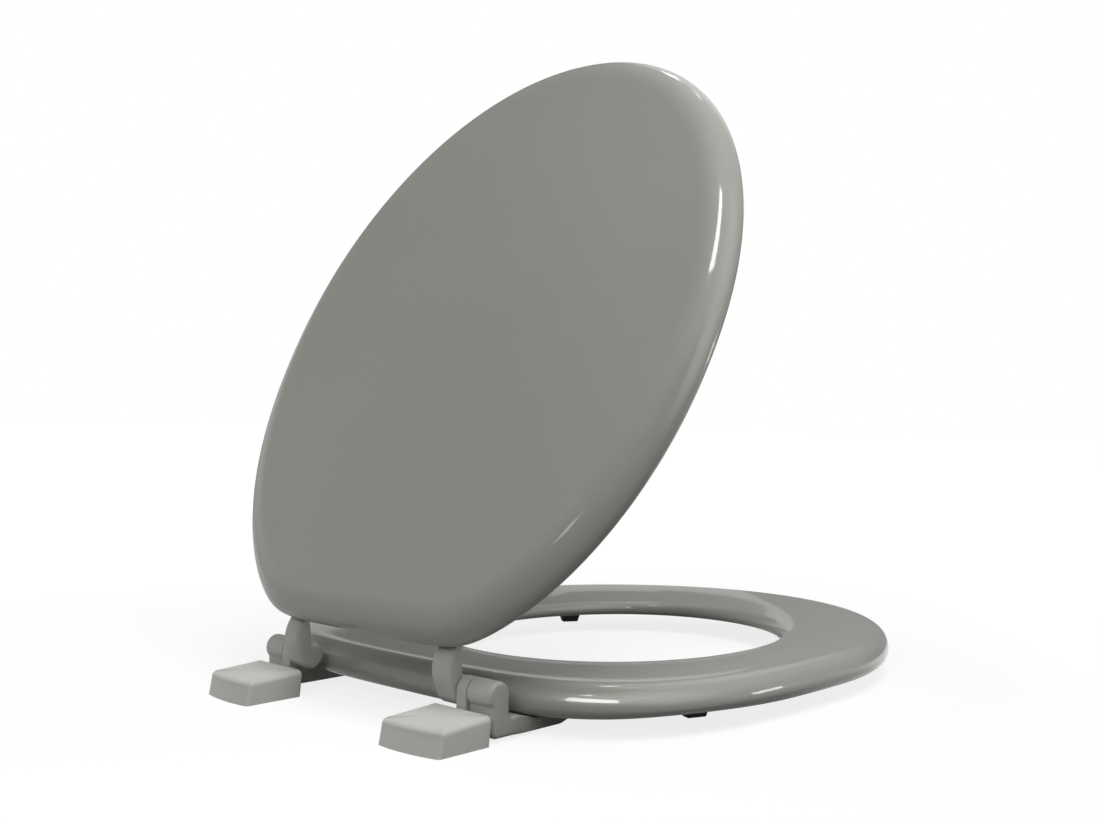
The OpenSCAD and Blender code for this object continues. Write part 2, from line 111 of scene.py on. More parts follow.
# triangles from one point to the loop of columns that starts at first
def fanFaces(pole, first, columns, turned=False):
    j = np.arange(columns)
    a, b = first + j, first + (j + 1) % columns
    if turned:
        a, b = b, a
    return np.stack([np.full(columns, pole), a, b], -1)


# a closed mesh in metres; its normals are set to point outwards, and edges over sharpAngle stay sharp
def meshObject(name, points, faces, sharpAngle=40):
    mesh = bpy.data.meshes.new(name)
    faceList = []
    for part in faces:
        faceList += part.tolist() if isinstance(part, np.ndarray) else part
    mesh.from_pydata((np.asarray(points) * mm).tolist(), [], faceList)
    mesh.update()
    made = bpy.data.objects.new(name, mesh)
    bpy.context.scene.collection.objects.link(made)
    faceOutwards(mesh)
    shadeSmooth(mesh, sharpAngle)
    return made


# the signed volume of a closed mesh is negative if its faces look inwards
def faceOutwards(mesh):
    mesh.calc_loop_triangles()
    corners = np.zeros(len(mesh.loop_triangles) * 3, np.int64)
    mesh.loop_triangles.foreach_get("vertices", corners)
    co = np.zeros(len(mesh.vertices) * 3)
    mesh.vertices.foreach_get("co", co)
    t = co.reshape(-1, 3)[corners.reshape(-1, 3)]
    if np.einsum("ij,ij->i", t[:, 0], np.cross(t[:, 1], t[:, 2])).sum() < 0:
        mesh.flip_normals()


def shadeSmooth(mesh, sharpAngle):
    mesh.polygons.foreach_set("use_smooth", np.ones(len(mesh.polygons), bool))
    mesh.set_sharp_from_angle(angle=np.radians(sharpAngle))
    mesh.update()


# rows of points, closed at each end by a single point
def poledMesh(name, rows, startPole, endPole, sharpAngle=40):
    m, n = rows.shape[:2]
    points = np.concatenate([rows.reshape(-1, 3), [startPole, endPole]])
    faces = [gridFaces(m, n), fanFaces(m * n, 0, n, True), fanFaces(m * n + 1, (m - 1) * n, n)]
    return meshObject(name, points, faces, sharpAngle)


# corners that a cut left side by side are joined, and faces without area go
def weld(mesh, distance=0.0015):
    whole = bmesh.new()
    whole.from_mesh(mesh)
    bmesh.ops.remove_doubles(whole, verts=whole.verts, dist=distance * mm)
    bmesh.ops.dissolve_degenerate(whole, edges=whole.edges, dist=distance * mm)
    whole.to_mesh(mesh)
    whole.free()


# other closed shapes are cut out of a piece, or joined to it by a union; they are used up
def combine(piece, others, operation="DIFFERENCE", sharpAngle=40):
    for other in others:
        step = piece.modifiers.new("step", "BOOLEAN")
        step.operation = operation
        step.solver = "EXACT"
        step.object = other
        result = bpy.data.meshes.new_from_object(piece.evaluated_get(bpy.context.evaluated_depsgraph_get()))
        piece.modifiers.clear()
        weld(result)
        piece.data = result
        bpy.data.objects.remove(other)
    shadeSmooth(piece.data, sharpAngle)
    return piece


# a turned shape round the line through at along direction: profile is (distance along, radius), 0 radius at its ends
def turned(name, profile, at, direction, place, steps=48, phase=0.0):
    direction = np.array(direction, float)
    side = np.array([0, 0, 1.0]) if abs(direction[2]) < 0.5 else np.array([1.0, 0, 0])
    u = np.cross(direction, side)
    v = np.cross(direction, u)
    a = phase + np.linspace(0, 2 * np.pi, steps, endpoint=False)
    around = np.cos(a)[:, None] * u + np.sin(a)[:, None] * v
    s, r = np.array(profile, float).T
    rows = np.array(at) + s[1:-1, None, None] * direction + r[1:-1, None, None] * around[None]
    ends = np.array(at) + s[[0, -1], None] * direction
    return poledMesh(name, place(rows), place(ends[0]), place(ends[1]))


# the signed power of a cosine or sine that makes a superellipse of squareness n
def bend(c, n):
    return np.sign(c) * np.abs(c) ** (2 / n)


# an egg outline round the y axis: one superellipse in front of its widest line, another behind it
def oval(t, half, front, middle, rear, frontRound, rearRound):
    ahead = np.sin(t) > 0
    n = np.where(ahead, frontRound, rearRound)
    length = np.where(ahead, front - middle, middle - rear)
    return half * bend(np.cos(t), n), middle + length * bend(np.sin(t), n)


lidBoard = {
    "width": 368.5, "front": 430.9, "middle": 215.5, "ovalBack": -6.0, "rear": 13.8, "corner": 8.0,
    "frontRound": 2.03, "rearRound": 2.1,
    "under": 17.5, "lip": 4.4, "rollRise": 13.2, "rollIn": 21.0, "dome": 2.4,
    "around": 480, "lipRows": 10, "rollRows": 30, "domeRows": 44, "underRows": 5,
}


# the lid: level lines of one egg outline, cut straight at the rear by a soft maximum,
# moved in over the lip and the rolled edge and then scaled down over a shallow dome
def makeLid(d):
    t = np.linspace(0, 2 * np.pi, d["around"], endpoint=False)

    def line(inset):
        x, y = oval(t, d["width"] / 2 - inset, d["front"] - inset, d["middle"],
                    d["ovalBack"] + inset, d["frontRound"], d["rearRound"])
        cut = d["rear"] + inset
        y = (y + cut + np.sqrt((y - cut) ** 2 + d["corner"] ** 2)) / 2
        return np.stack([x, -y], -1)

    centre = np.array([0.0, -(d["front"] + d["rear"]) / 2])
    side, face = d["under"] + d["lip"], d["under"] + d["lip"] + d["rollRise"]
    rows = []
    for s in np.linspace(0.2, 0.98, d["underRows"]):
        rows.append((line(d["lip"]), d["under"], s))
    for a in np.radians(np.linspace(-90, 0, d["lipRows"])):
        rows.append((line(d["lip"] * (1 - np.cos(a))), side + d["lip"] * np.sin(a), 1.0))
    for a in np.radians(np.linspace(0, 90, d["rollRows"] + 1))[1:]:
        rows.append((line(d["rollIn"] * (1 - np.cos(a))), side + d["rollRise"] * np.sin(a), 1.0))
    for s in np.linspace(1, 0, d["domeRows"] + 1)[1:-1]:
        rows.append((line(d["rollIn"]), face + d["dome"] * (1 - s * s) ** 2, s))
    grid = np.stack([np.column_stack([centre + (p - centre) * s, np.full(len(t), z)]) for p, z, s in rows])
    under = np.array([0, centre[1], d["under"]])
    top = np.array([0, centre[1], face + d["dome"]])
    lid = poledMesh("lidBoard", onLid(grid), onLid(under), onLid(top), 50)
    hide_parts("lid")
    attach(lid, "lid_body")
    return lid


seatRing = {
    "width": 368.0, "front": 430.0, "middle": 225.0, "rear": 12.0, "frontRound": 1.96, "rearRound": 3.5,
    "holeWidth": 219.0, "holeFront": 350.0, "holeMiddle": 221.0, "holeRear": 94.0,
    "holeFrontRound": 2.04, "holeRearRound": 2.13,
    "thick": 21.0, "lowHigh": 8.0, "lowIn": 8.0, "edgeIn": 12.4,
    "fall": 5.8, "holeEdge": 6.5, "rim": 10.2, "rimUnder": 3.2, "rimBevel": 34.0,
    "rimFrom": 76.0, "crownBend": 1.5, "border": 21.0, "lift": (0.8, 2.3), "liftAt": 80.0, "liftWidths": (45.0, 60.0),
    "around": 480, "lowRows": 14, "edgeRows": 22, "crownRows": 44, "rimRows": 16, "underRows": 8, "flatRows": 6,
}


# the seat: one closed section, carried round from the outer line to the hole's line. Its outer edge is two
# quarter ellipses, a low one below the widest line and a high one above it
def makeSeat(d):
    t = np.linspace(0, 2 * np.pi, d["around"], endpoint=False)

    def outer(inset):
        x, y = oval(t, d["width"] / 2 - inset, d["front"] - inset, d["middle"], d["rear"] + inset,
                    d["frontRound"], d["rearRound"])
        return np.stack([x, -y], -1)

    def hole(outset):
        x, y = oval(t, d["holeWidth"] / 2 + outset, d["holeFront"] + outset, d["holeMiddle"],
                    d["holeRear"] - outset, d["holeFrontRound"], d["holeRearRound"])
        return np.stack([x, -y], -1)

    crown = seatUnder + d["thick"]
    lip = crown - d["fall"]
    low = lip - d["rim"]
    nose = low + d["rimUnder"]
    rimFrom = np.radians(d["rimFrom"])
    rimTop = nose + (lip - nose) * np.sin(rimFrom)
    widest = seatUnder + d["lowHigh"]
    # the border of the underside rises to the outer edge: a little all round, and by a bell curve on each side
    along = -outer(0)[:, 1] - d["liftAt"]
    bell = np.exp(-(along / np.where(along < 0, *d["liftWidths"])) ** 2)
    lift = d["lift"][0] + d["lift"][1] * bell
    rows = []
    for a in np.radians(np.linspace(-90, 0, d["lowRows"])):
        rows.append((outer(d["lowIn"] * (1 - np.cos(a))), widest + (d["lowHigh"] - lift) * np.sin(a)))
    for a in np.radians(np.linspace(0, 90, d["edgeRows"]))[1:]:
        rows.append((outer(d["edgeIn"] * (1 - np.cos(a))), widest + (crown - widest) * np.sin(a)))
    start, end = outer(d["edgeIn"]), hole(d["holeEdge"] * (1 - np.cos(rimFrom)))
    for s in np.linspace(0, 1, d["crownRows"] + 1)[1:-1]:
        rows.append((start + s * (end - start), crown - (crown - rimTop) * s ** d["crownBend"]))
    for a in np.linspace(rimFrom, 0, d["rimRows"]):
        rows.append((hole(d["holeEdge"] * (1 - np.cos(a))), nose + (lip - nose) * np.sin(a)))
    for a in np.radians(np.linspace(0, 90, d["underRows"]))[1:]:
        rows.append((hole(d["rimUnder"] * (1 - np.cos(a))), nose - (nose - low) * np.sin(a)))
    bevel, border = hole(d["rimUnder"] + d["rimBevel"]), outer(d["border"])
    for s in np.linspace(0, 1, d["flatRows"]):
        rows.append((bevel + s * (border - bevel), seatUnder))
    grid = np.stack([np.column_stack([p, np.full(len(t), z)]) for p, z in rows])
    m, n = grid.shape[:2]
    seat = meshObject("seatRing", onAxis(grid).reshape(-1, 3), [gridFaces(m, n, True)], 50)
    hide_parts("seat")
    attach(seat, "seat_body")
    return seat


# corners is a list of (y, z, radius): each corner of a closed outline becomes an arc of that radius
def roundedOutline(corners, steps=8):
    p = np.array([c[:2] for c in corners], float)
    out = []
    for k, (y, z, r) in enumerate(corners):
        here, before, after = p[k], p[k - 1], p[(k + 1) % len(p)]
        if r <= 0:
            out.append(here[None])
            continue
        u = (before - here) / np.linalg.norm(before - here)
        v = (after - here) / np.linalg.norm(after - here)
        half = np.arccos(np.clip(u @ v, -1, 1)) / 2
        reach = min(r / np.tan(half), 0.49 * np.linalg.norm(before - here), 0.49 * np.linalg.norm(after - here))
        r = reach * np.tan(half)
        mid = here + (u + v) / np.linalg.norm(u + v) * r / np.sin(half)
        a0 = np.arctan2(*(here + u * reach - mid)[::-1])
        a1 = np.arctan2(*(here + v * reach - mid)[::-1])
        turn = (a1 - a0 + np.pi) % (2 * np.pi) - np.pi
        a = a0 + turn * np.linspace(0, 1, steps + 1)
        out.append(mid + r * np.stack([np.cos(a), np.sin(a)], -1))
    return np.concatenate(out)


def arc(y, z, r, start, end, steps):
    a = np.radians(np.linspace(start, end, steps + 1))
    return np.stack([y + r * np.cos(a), z + r * np.sin(a)], -1)


# the outline moved inwards along the mean of its neighbouring edges' normals, by one distance or one a point
def insetOutline(outline, distance):
    area = np.sum(outline[:, 0] * np.roll(outline[:, 1], -1) - np.roll(outline[:, 0], -1) * outline[:, 1])
    edge = np.roll(outline, -1, 0) - outline
    edge /= np.linalg.norm(edge, axis=1)[:, None]
    normal = np.stack([-edge[:, 1], edge[:, 0]], -1) * np.sign(area)
    both = normal + np.roll(normal, 1, 0)
    both /= np.maximum((both * both).sum(1), 0.8)[:, None] / 2
    return outline + both * np.reshape(distance, (-1, 1))


# straight runs of an outline split into short steps, so that they can bend
def splitRuns(outline, step):
    out = []
    for a, b in zip(outline, np.roll(outline, -1, 0)):
        n = max(1, int(np.ceil(np.linalg.norm(b - a) / step)))
        out.append(a + (b - a) * (np.arange(n) / n)[:, None])
    return np.concatenate(out)


# a bar along x whose side outline is given, its two ends rounded over by a quarter circle each. On a long
# foot the end radius fades smoothly to a smaller one between two places along y
def roundedBar(name, outline, x0, x1, endRadii, place, foot=None, steps=8):
    outline = splitRuns(outline, 1.6)
    share = np.ones(len(outline))
    if foot:
        share = np.clip((outline[:, 0] - foot["fadeTo"]) / (foot["fadeFrom"] - foot["fadeTo"]), 0, 1)
        share = share * share * (3 - 2 * share)
    quarter = np.radians(np.linspace(0, 90, steps + 1))
    rows = []
    for x, inwards, radius, angles in ((x0, 1, endRadii[0], quarter), (x1, -1, endRadii[1], quarter[::-1])):
        small = foot["radius"] if foot else radius
        r = small + (radius - small) * share
        for a in angles:
            rows.append(np.column_stack([x + inwards * r * (1 - np.cos(a)), insetOutline(outline, r * (1 - np.sin(a)))]))
    grid = place(np.stack(rows))
    m, n = grid.shape[:2]
    caps = [list(range(n)), list(range((m - 1) * n, m * n))[::-1]]
    return meshObject(name, grid.reshape(-1, 3), [gridFaces(m, n)[:, ::-1], caps], 40)


pins = {"radius": 2.5, "play": 0.06, "from": 63.0, "to": 98.7}
lidArm = {
    "inner": 60.0, "width": 15.0, "eye": 8.2, "eyeBack": 0.6, "elbow": 18.7, "elbowBack": 12.0,
    "elbowHigh": -1.0, "elbowFrom": 36.0, "elbowTo": 98.0, "seatFrom": 17.4,
    "thick": 5.4, "reach": 64.0, "throat": 18.0, "root": (-6.5, 4.1), "rootFrom": 150.0,
    "edge": 2.8, "inEdge": 2.2, "foot": {"radius": 1.3, "fadeFrom": -14.0, "fadeTo": -26.0},
    "screwEnd": 18.0, "screwPitch": 12.0, "screwHole": 3.7, "headHole": 7.6, "headSink": 2.4,
}
seatArm = {
    "inner": 83.4, "width": 18.3, "eye": 7.8, "forward": 0.8, "uprightFrom": -45.0, "reach": 66.0,
    "toe": 16.0, "toeThick": 2.4, "instepHigh": 10.6, "instep": 21.0, "heel": 4.0,
    "edge": 2.2, "inEdge": 1.0, "foot": {"radius": 0.8, "fadeFrom": -9.0, "fadeTo": -22.0},
}


# holes for two screws in an arm, each with room for its head below
def screwCutters(x, reach, headTop, place):
    cutters = []
    for k in range(2):
        y = -(reach - lidArm["screwEnd"] - k * lidArm["screwPitch"])
        for top, bottom, d in ((30, -10, lidArm["screwHole"]), (0, -12, lidArm["headHole"])):
            profile = [(bottom, 0), (bottom, d / 2), (top, d / 2), (top, 0)]
            cutters.append(turned("cutter", profile, (x, y, headTop), (0, 0, 1), place, 32, 0.037))
    return cutters


# the bore that lets an arm turn on its pin
def pinCutter(x0, x1, place):
    r = pins["radius"] + pins["play"]
    return turned("cutter", [(0, 0), (0, r), (x1 - x0, r), (x1 - x0, 0)], (x0, 0, 0), (1, 0, 0), place, 64, 0.021)


# the lid's arm from the side: a round eye, a wide elbow that meets it in one straight line, and a flat foot
def makeLidArm(d, side, name):
    under = lidBoard["under"]
    foot = under - d["thick"]
    toe = -d["reach"] + d["thick"]
    throat = roundedOutline([(-30, foot, 0), (-d["throat"], foot, 5.0), (*d["root"], 0)], 12)[1:-1]
    outline = np.concatenate([
        arc(-d["elbowBack"], d["elbowHigh"], d["elbow"], d["elbowFrom"], d["elbowTo"], 26),
        [[-d["seatFrom"], under]],
        arc(toe, under, d["thick"], 180, 270, 12),
        throat,
        arc(d["eyeBack"], 0, d["eye"], d["rootFrom"], 360 + d["elbowFrom"], 72),
    ])
    flip = mirrorX if side < 0 else np.array
    place = lambda p: onLid(flip(p))
    outer = d["inner"] + d["width"]
    arm = roundedBar("lidArm", outline, d["inner"], outer, (d["edge"], d["inEdge"]), place, d["foot"])
    cutters = screwCutters(d["inner"] + d["width"] / 2, d["reach"], foot + d["headSink"], place)
    cutters.append(pinCutter(pins["from"], outer + 1, place))
    arm = combine(arm, cutters)
    arm.name = name
    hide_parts("lid_hinge_arm_left" if side < 0 else "lid_hinge_arm_right")
    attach(arm, "lid_body")
    return arm


# the seat's arm from the side: a round eye, an upright and a foot that tapers to its toe
def makeSeatArm(d, side, name):
    eye, turn = d["eye"], np.radians(d["uprightFrom"])
    front, back = -eye - d["forward"], eye * np.cos(turn) - d["forward"]
    outline = np.concatenate([
        arc(-d["forward"], 0, eye, d["uprightFrom"], 176, 60),
        roundedOutline([
            (front, 0, 0),
            (front, armFoot + d["instepHigh"], 2.5),
            (front - d["instep"] / 3, armFoot + d["instepHigh"], 3.4),
            (front - d["instep"], seatUnder, 3.0),
            (-d["reach"], seatUnder, 0.9),
            (-d["reach"], seatUnder - d["toeThick"], 1.0),
            (-d["reach"] + d["toe"], armFoot, 8.0),
            (back, armFoot, d["heel"]),
            (back, eye * np.sin(turn), 0),
        ], 10)[1:-1],
    ])
    flip = mirrorX if side < 0 else np.array
    place = lambda p: onAxis(flip(p))
    outer = d["inner"] + d["width"]
    arm = roundedBar("seatArm", outline, d["inner"], outer, (d["inEdge"], d["edge"]), place, d["foot"])
    cutters = screwCutters(d["inner"] + d["width"] / 2, d["reach"], armFoot + lidArm["headSink"], place)
    cutters.append(pinCutter(d["inner"] - 1, pins["to"], place))
    arm = combine(arm, cutters)
    arm.name = name
    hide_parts("seat_hinge_arm_left" if side < 0 else "seat_hinge_arm_right")
    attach(arm, "seat_body")
    return arm


boltCover = {
    "inner": 59.8, "width": 45.3, "front": 9.0, "deep": 39.7, "slant": 2.7, "bulge": 2.4,
    "frontHigh": 16.5, "rearHigh": 14.3, "wall": 2.0, "corner": 2.8, "topRound": 3.4, "topRise": 0.35,
    "lean": 1.3, "draft": 0.9, "notchFrom": 75.2, "notchTo": 83.2, "notchIn": 6.9, "notchHigh": 14.5,
}


# the cover's plan: a quadrilateral with rounded corners, its rear side bulged out by a parabola
def coverPlan(d, inset, r):
    x0, x1 = d["inner"], d["inner"] + d["width"]
    y0, y1 = d["front"], d["front"] + d["deep"]
    share = np.linspace(0, 1, 13)[1:-1]
    x, y = x1 + (x0 - x1) * share, y1 - d["slant"] * (1 - share) + 4 * d["bulge"] * share * (1 - share)
    rear = [(a, b, 0) for a, b in zip(x, y)]
    corners = [(x0, y0, r), (x1, y0, r), (x1, y1 - d["slant"], r), *rear, (x0, y1, r)]
    return insetOutline(roundedOutline(corners, 10), inset)


# the cover: its plan rises with a lean to the front, rounds over at the top and closes in a slight crown;
# the same form one wall further in is the hollow
def makeBoltCover(d, side, name):
    depth = d["deep"]
    base = splitRuns(coverPlan(d, 0.0, d["corner"]), 2.0)

    def shell(wall):
        plan = insetOutline(base, wall)
        centre = plan.mean(0)
        v = (plan[:, 1] - d["front"]) / depth
        high = d["frontHigh"] + (d["rearHigh"] - d["frontHigh"]) * np.clip(v, 0, 1) - wall
        lean = d["lean"] + d["draft"] * np.clip(v, 0, 1)
        r = max(d["topRound"] - wall, 0.8)
        rows = []
        for s in np.linspace(0, 1, 5):
            rows.append((plan, s * (high - r), s * lean))
        for a in np.radians(np.linspace(0, 90, 11))[1:]:
            rows.append((insetOutline(plan, r * (1 - np.cos(a))), high - r + r * np.sin(a), lean))
        top = insetOutline(plan, r)
        for s in np.linspace(1, 0, 12)[1:-1]:
            level = high * s + (1 - s) * (d["frontHigh"] + d["rearHigh"]) / 2 - (1 - s) * wall
            rows.append((centre + (top - centre) * s, level + d["topRise"] * (1 - s * s), lean))
        grid = np.stack([np.column_stack([p[:, 0], p[:, 1] - shift, z * np.ones(len(p))]) for p, z, shift in rows])
        middle = np.array([centre[0], centre[1] - d["lean"] - d["draft"] / 2,
                           (d["frontHigh"] + d["rearHigh"]) / 2 - wall + d["topRise"]])
        return grid, middle

    outer, outerTop = shell(0.0)
    inner, innerTop = shell(d["wall"])
    grid = np.concatenate([outer[::-1], inner])
    flip = mirrorX if side < 0 else np.array
    place = lambda p: flip(p + np.array([0, axle["y"], 0]))
    cover = poledMesh("cover", place(grid), place(outerTop), place(innerTop), 50)
    x0, x1, z1 = d["notchFrom"], d["notchTo"], d["notchHigh"]
    y0, y1 = d["front"] - 12, d["front"] + d["notchIn"]
    box = np.array([[x, y, z] for x in (x0, x1) for y in (y0, y1) for z in (-2, z1)], float)
    sides = [[0, 1, 3, 2], [4, 6, 7, 5], [0, 4, 5, 1], [2, 3, 7, 6], [0, 2, 6, 4], [1, 5, 7, 3]]
    cover = combine(cover, [meshObject("cutter", place(box), [sides])], sharpAngle=50)
    cover.name = name
    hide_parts("bolt_cover_left" if side < 0 else "bolt_cover_right")
    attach(cover, "base")
    return cover


hingeBase = {
    "plate": 4.0, "inset": 2.3, "knuckleFrom": 75.5, "knuckle": 7.4, "eye": 7.8, "forward": 0.8,
    "root": 6.0, "edge": 0.5, "corner": 5.5, "neck": 2.0, "toe": 1.5,
    "holeX": 77.5, "hole": 8.5, "boss": 14.5, "bossHigh": 2.0,
}


# the base: a plate with a boss round its fixing hole, and the knuckle that carries the pin
def makeHingeBase(d, side, name):
    ground, eye = -axle["z"], d["eye"]
    front, back = -d["forward"] - d["neck"], eye - d["forward"]
    coverFront = boltCover["front"]
    flip = mirrorX if side < 0 else np.array
    place = lambda p: onAxis(flip(p))
    plan = coverPlan(boltCover, d["inset"], d["corner"])
    rows = []
    for inset, z in ((d["edge"], 0), (0, d["edge"]), (0, d["plate"] - d["edge"]), (d["edge"], d["plate"])):
        p = insetOutline(plan, inset)
        rows.append(np.column_stack([p, np.full(len(p), ground + z)]))
    grid = place(np.stack(rows))
    m, n = grid.shape[:2]
    caps = [list(range(n)), list(range((m - 1) * n, m * n))[::-1]]
    plate = meshObject("plate", grid.reshape(-1, 3), [gridFaces(m, n)[:, ::-1], caps])
    neckFrom = 180 + np.degrees(np.arccos(d["neck"] / eye))
    outline = np.concatenate([
        arc(-d["forward"], 0, eye, 0, neckFrom, 60),
        roundedOutline([
            (front, 0, 0),
            (front, -eye - 0.5, 0),
            (coverFront - d["toe"], ground + d["plate"], 1.2),
            (coverFront - d["toe"], ground + 0.01, 0.8),
            (coverFront + d["root"], ground + 0.01, 0.8),
            (coverFront + d["root"], ground + d["plate"] + 3, 2.0),
            (back, ground + boltCover["frontHigh"] - 3, 1.0),
            (back, 0, 0),
        ], 6)[1:-1],
    ])
    x0 = d["knuckleFrom"]
    knuckle = roundedBar("knuckle", outline, x0, x0 + d["knuckle"], (0.7, 0.7), place, steps=4)
    high = d["plate"] + d["bossHigh"]
    r, e = d["boss"] / 2, d["edge"]
    boss = turned("boss", [(0.2, 0), (0.2, r), (high - e, r), (high, r - e), (high, 0)],
                  (d["holeX"], -axle["y"], ground), (0, 0, 1), place, 64, 0.021)
    base = combine(plate, [knuckle, boss], "UNION")
    hole = turned("cutter", [(-1, 0), (-1, d["hole"] / 2), (20, d["hole"] / 2), (20, 0)],
                  (d["holeX"], -axle["y"], ground), (0, 0, 1), place, 64)
    base = combine(base, [hole])
    base.name = name
    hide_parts("hinge_base_left" if side < 0 else "hinge_base_right")
    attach(base, "base")
    return base


seatBuffer = {
    "long": 18.0, "wide": 12.0, "high": 8.6, "sunk": 1.8, "taper": 2.6, "corner": 2.2, "edge": 1.2,
    "recess": 4.8, "recessDeep": 3.6,
    "front": (137.0, -326.0, 57.0), "rear": (140.0, -124.0, 112.0),
}
lidBuffer = {"x": 125.0, "y": -349.0, "across": 16.0, "taper": 2.6, "edge": 1.2, "high": 11.9}


# a buffer under the seat: a rounded rectangle that tapers down, rounds over and turns in to a nail recess
def makeSeatBuffer(d, side, end, name):
    long, wide, high = d["long"] / 2, d["wide"] / 2, d["high"]
    c = d["corner"]
    plan = roundedOutline([(long, wide, c), (-long, wide, c), (-long, -wide, c), (long, -wide, c)], 8)
    angle = np.arctan2(plan[:, 1], plan[:, 0])
    ring = np.stack([np.cos(angle), np.sin(angle)], -1) * d["recess"] / 2
    rows = [(plan * 0.5, d["sunk"]), (plan, d["sunk"])]
    for s in np.linspace(0, 1, 6):
        depth = s * (high - d["edge"])
        rows.append((plan * (1 - d["taper"] * depth / high / np.array([long, wide])), -depth))
    low = rows[-1][0]
    for a in np.radians(np.linspace(0, 90, 7))[1:]:
        rows.append((insetOutline(low, d["edge"] * (1 - np.cos(a))), -(high - d["edge"]) - d["edge"] * np.sin(a)))
    rows += [(ring, -high), (ring, -high + d["recessDeep"])]
    grid = np.stack([np.column_stack([p, np.full(len(p), z)]) for p, z in rows])
    x, y, turn = d[end]
    a = np.radians(turn)
    spin = np.array([[np.cos(a), -np.sin(a), 0], [np.sin(a), np.cos(a), 0], [0, 0, 1]])
    flip = mirrorX if side < 0 else np.array
    place = lambda p: onAxis(flip(p @ spin.T + np.array([x, y, seatUnder])))
    buffer = poledMesh(name, place(grid), place(np.array([0, 0, d["sunk"]])),
                        place(np.array([0, 0, -high + d["recessDeep"]])), 45)
    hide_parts(f"seat_buffer_{end}_" + ("left" if side < 0 else "right"))
    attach(buffer, "seat_body")
    return buffer


# a round buffer under the lid, with the same kind of recess
def makeLidBuffer(d, side, name):
    r, h, e = d["across"] / 2, d["high"], d["edge"]
    low = r - d["taper"]
    a = np.radians(np.linspace(0, 90, 7))
    curve = [(h - e + e * np.sin(k), low - e + e * np.cos(k)) for k in a]
    recess = seatBuffer["recess"] / 2
    profile = [(0, 0), (0, r * 0.5), (0, r)] + curve + [(h, recess), (h - seatBuffer["recessDeep"], recess),
                                                       (h - seatBuffer["recessDeep"], 0)]
    flip = mirrorX if side < 0 else np.array
    place = lambda p: onLid(flip(p))
    buffer = turned(name, profile, (d["x"], d["y"], lidBoard["under"]), (0, 0, -1), place, 64)
    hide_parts("lid_buffer_left" if side < 0 else "lid_buffer_right")
    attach(buffer, "lid_body")
    return buffer


lid = makeLid(lidBoard)
seat = makeSeat(seatRing)
print("the lid and the seat are made")
sides = ((-1, "Left"), (1, "Right"))
lidArms = [makeLidArm(lidArm, s, "lidArm" + n) for s, n in sides]
seatArms = [makeSeatArm(seatArm, s, "seatArm" + n) for s, n in sides]
bases = [makeHingeBase(hingeBase, s, "hingeBase" + n) for s, n in sides]
covers = [makeBoltCover(boltCover, s, "boltCover" + n) for s, n in sides]
print("the hinges and their covers are made")
buffers = [makeSeatBuffer(seatBuffer, s, e, f"seatBuffer{e.title()}{n}") for s, n in sides for e in ("front", "rear")]
buffers += [makeLidBuffer(lidBuffer, s, "lidBuffer" + n) for s, n in sides]
print("the buffers are made")


# one output of a material's tree: sums and products with it add Math nodes
class Shade:
    def __init__(self, tree, socket=None):
        self.tree = tree
        self.socket = socket

    # adds a node of any type: its settings first, then the values or links of its sockets
    def node(self, kind, settings, sockets, out=0):
        made = self.tree.nodes.new(kind)
        for key, value in settings.items():
            if key == "stops":
                ramp = made.color_ramp.elements
                while len(ramp) < len(value):
                    ramp.new(0.5)
                for stop, (place, colour) in zip(ramp, value):
                    stop.position, stop.color = place, (*colour, 1)
            else:
                setattr(made, key, value)
        for key, value in sockets.items():
            if isinstance(value, Shade):
                self.tree.links.new(value.socket, made.inputs[key])
            else:
                made.inputs[key].default_value = value
        return Shade(self.tree, made.outputs[out])

    def maths(self, operation, a, b):
        return self.node("ShaderNodeMath", {"operation": operation}, {0: a, 1: b})

    def __add__(self, other):
        return self.maths("ADD", self, other)

    def __radd__(self, other):
        return self.maths("ADD", other, self)

    def __sub__(self, other):
        return self.maths("SUBTRACT", self, other)

    def __rsub__(self, other):
        return self.maths("SUBTRACT", other, self)

    def __mul__(self, other):
        return self.maths("MULTIPLY", self, other)

    def __rmul__(self, other):
        return self.maths("MULTIPLY", other, self)

    # the same shade moved from one range to another and kept inside it
    def spread(self, low, high, newLow, newHigh):
        return self.node("ShaderNodeMapRange", {}, {0: self, 1: low, 2: high, 3: newLow, 4: newHigh})

    def noise(self, place, scale, detail=2.0, rough=0.5):
        return self.node("ShaderNodeTexNoise", {}, {"Vector": place, "Scale": scale, "Detail": detail, "Roughness": rough})


# sRGB in 0..255, as read off a picture, to the linear colour that a shader takes
def fromPicture(*rgb):
    c = np.array(rgb) / 255
    return tuple(np.where(c <= 0.04045, c / 12.92, ((c + 0.055) / 1.055) ** 2.4))


paintFinish = {"colour": (155, 156, 148), "lift": 0.035, "rough": 0.50, "coat": 0.85, "coatRough": 0.06,
               "peel": 260.0, "peelHigh": 0.00002, "wave": 22.0, "waveHigh": 0.00012}
hingeFinish = {"colour": (184, 185, 178), "lift": 0.03, "rough": 0.38, "grain": 900.0, "grainHigh": 0.00002}
coverFinish = {"colour": (209, 210, 203), "lift": 0.02, "rough": 0.55, "grain": 1100.0, "grainHigh": 0.00004}
bufferFinish = {"colour": (104, 105, 97), "lift": 0.04, "rough": 0.62, "grain": 700.0, "grainHigh": 0.00004}
steelFinish = {"colour": (176, 178, 180), "lift": 0.05, "rough": 0.32, "grain": 1500.0, "grainHigh": 0.00001}


